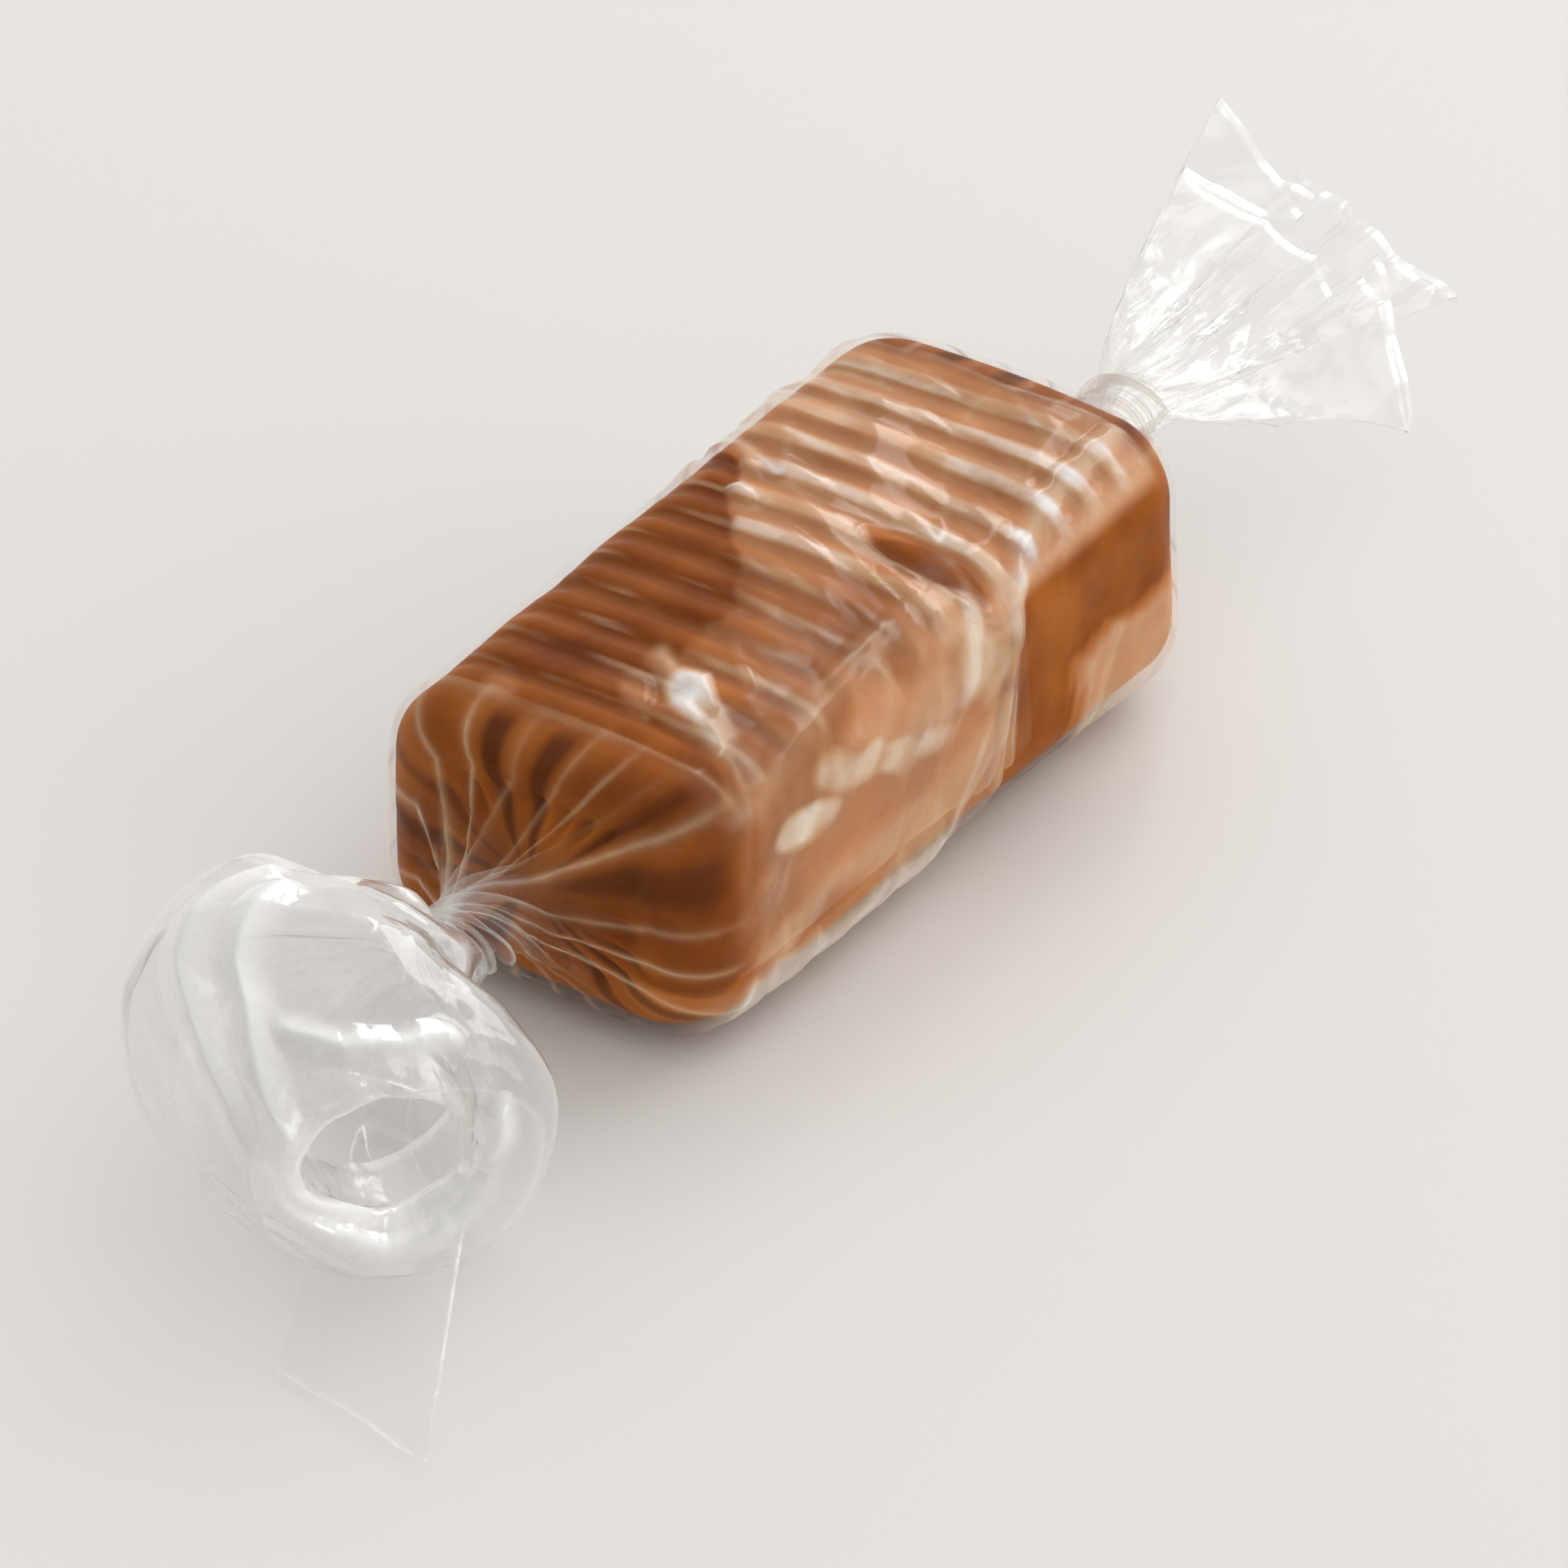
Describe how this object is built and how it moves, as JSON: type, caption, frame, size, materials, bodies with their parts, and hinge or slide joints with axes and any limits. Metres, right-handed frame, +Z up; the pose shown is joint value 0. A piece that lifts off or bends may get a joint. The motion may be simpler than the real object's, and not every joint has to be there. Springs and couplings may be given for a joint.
{
  "type": "wrapped caramel",
  "caption": "Soft caramel block in a clear film wrapper, twisted shut at both ends, one end puffed and the other fanned flat.",
  "frame": {"origin": "middle of the flat face that the block rests on", "axes": "+X along the sweet, from the puffed front twist to the flat rear fan; +Y across the block, away from the side with the lap seam; +Z up"},
  "size_m": [0.0782, 0.0218, 0.013],
  "materials": {
    "caramel": "soft satin",
    "film": "clear and glossy"
  },
  "bodies": {
    "root": {"caramel": "caramel", "wrapper": "film"}
  },
  "joints": []
}
